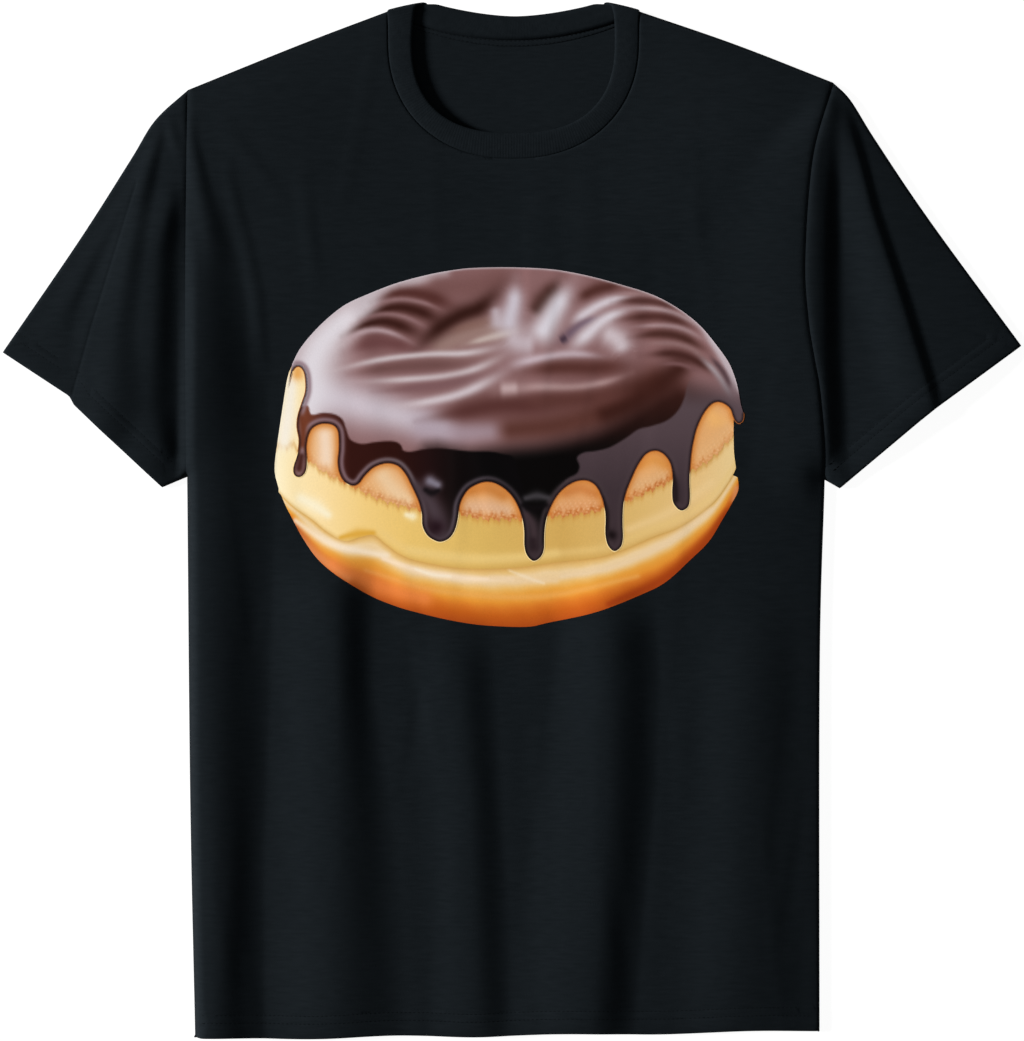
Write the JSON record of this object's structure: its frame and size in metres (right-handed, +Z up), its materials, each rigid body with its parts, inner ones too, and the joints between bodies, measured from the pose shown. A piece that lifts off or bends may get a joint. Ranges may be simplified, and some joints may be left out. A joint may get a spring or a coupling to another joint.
{
  "type": "t-shirt",
  "caption": "Short-sleeved crew-neck T-shirt in black jersey, lying flat with its front up, with a filled doughnut printed on the chest.",
  "frame": {"origin": "on the floor, under the middle of the shirt's outline", "axes": "+X across the shirt to the right as seen from above, +Y from the hem to the neck, +Z up, out of the shirt's front"},
  "size_m": [0.699, 0.7102, 0.018],
  "materials": {
    "jersey": "matte black cotton jersey",
    "rib": "matte black knitted rib",
    "tape": "matte black cotton tape",
    "print": "ink printed on jersey, in browns, golds and creams"
  },
  "bodies": {
    "root": {"back": "jersey", "front": "jersey", "sleeve_left": "jersey", "sleeve_right": "jersey", "collar": "rib", "neck_tape": "tape", "print": "print"}
  },
  "joints": []
}
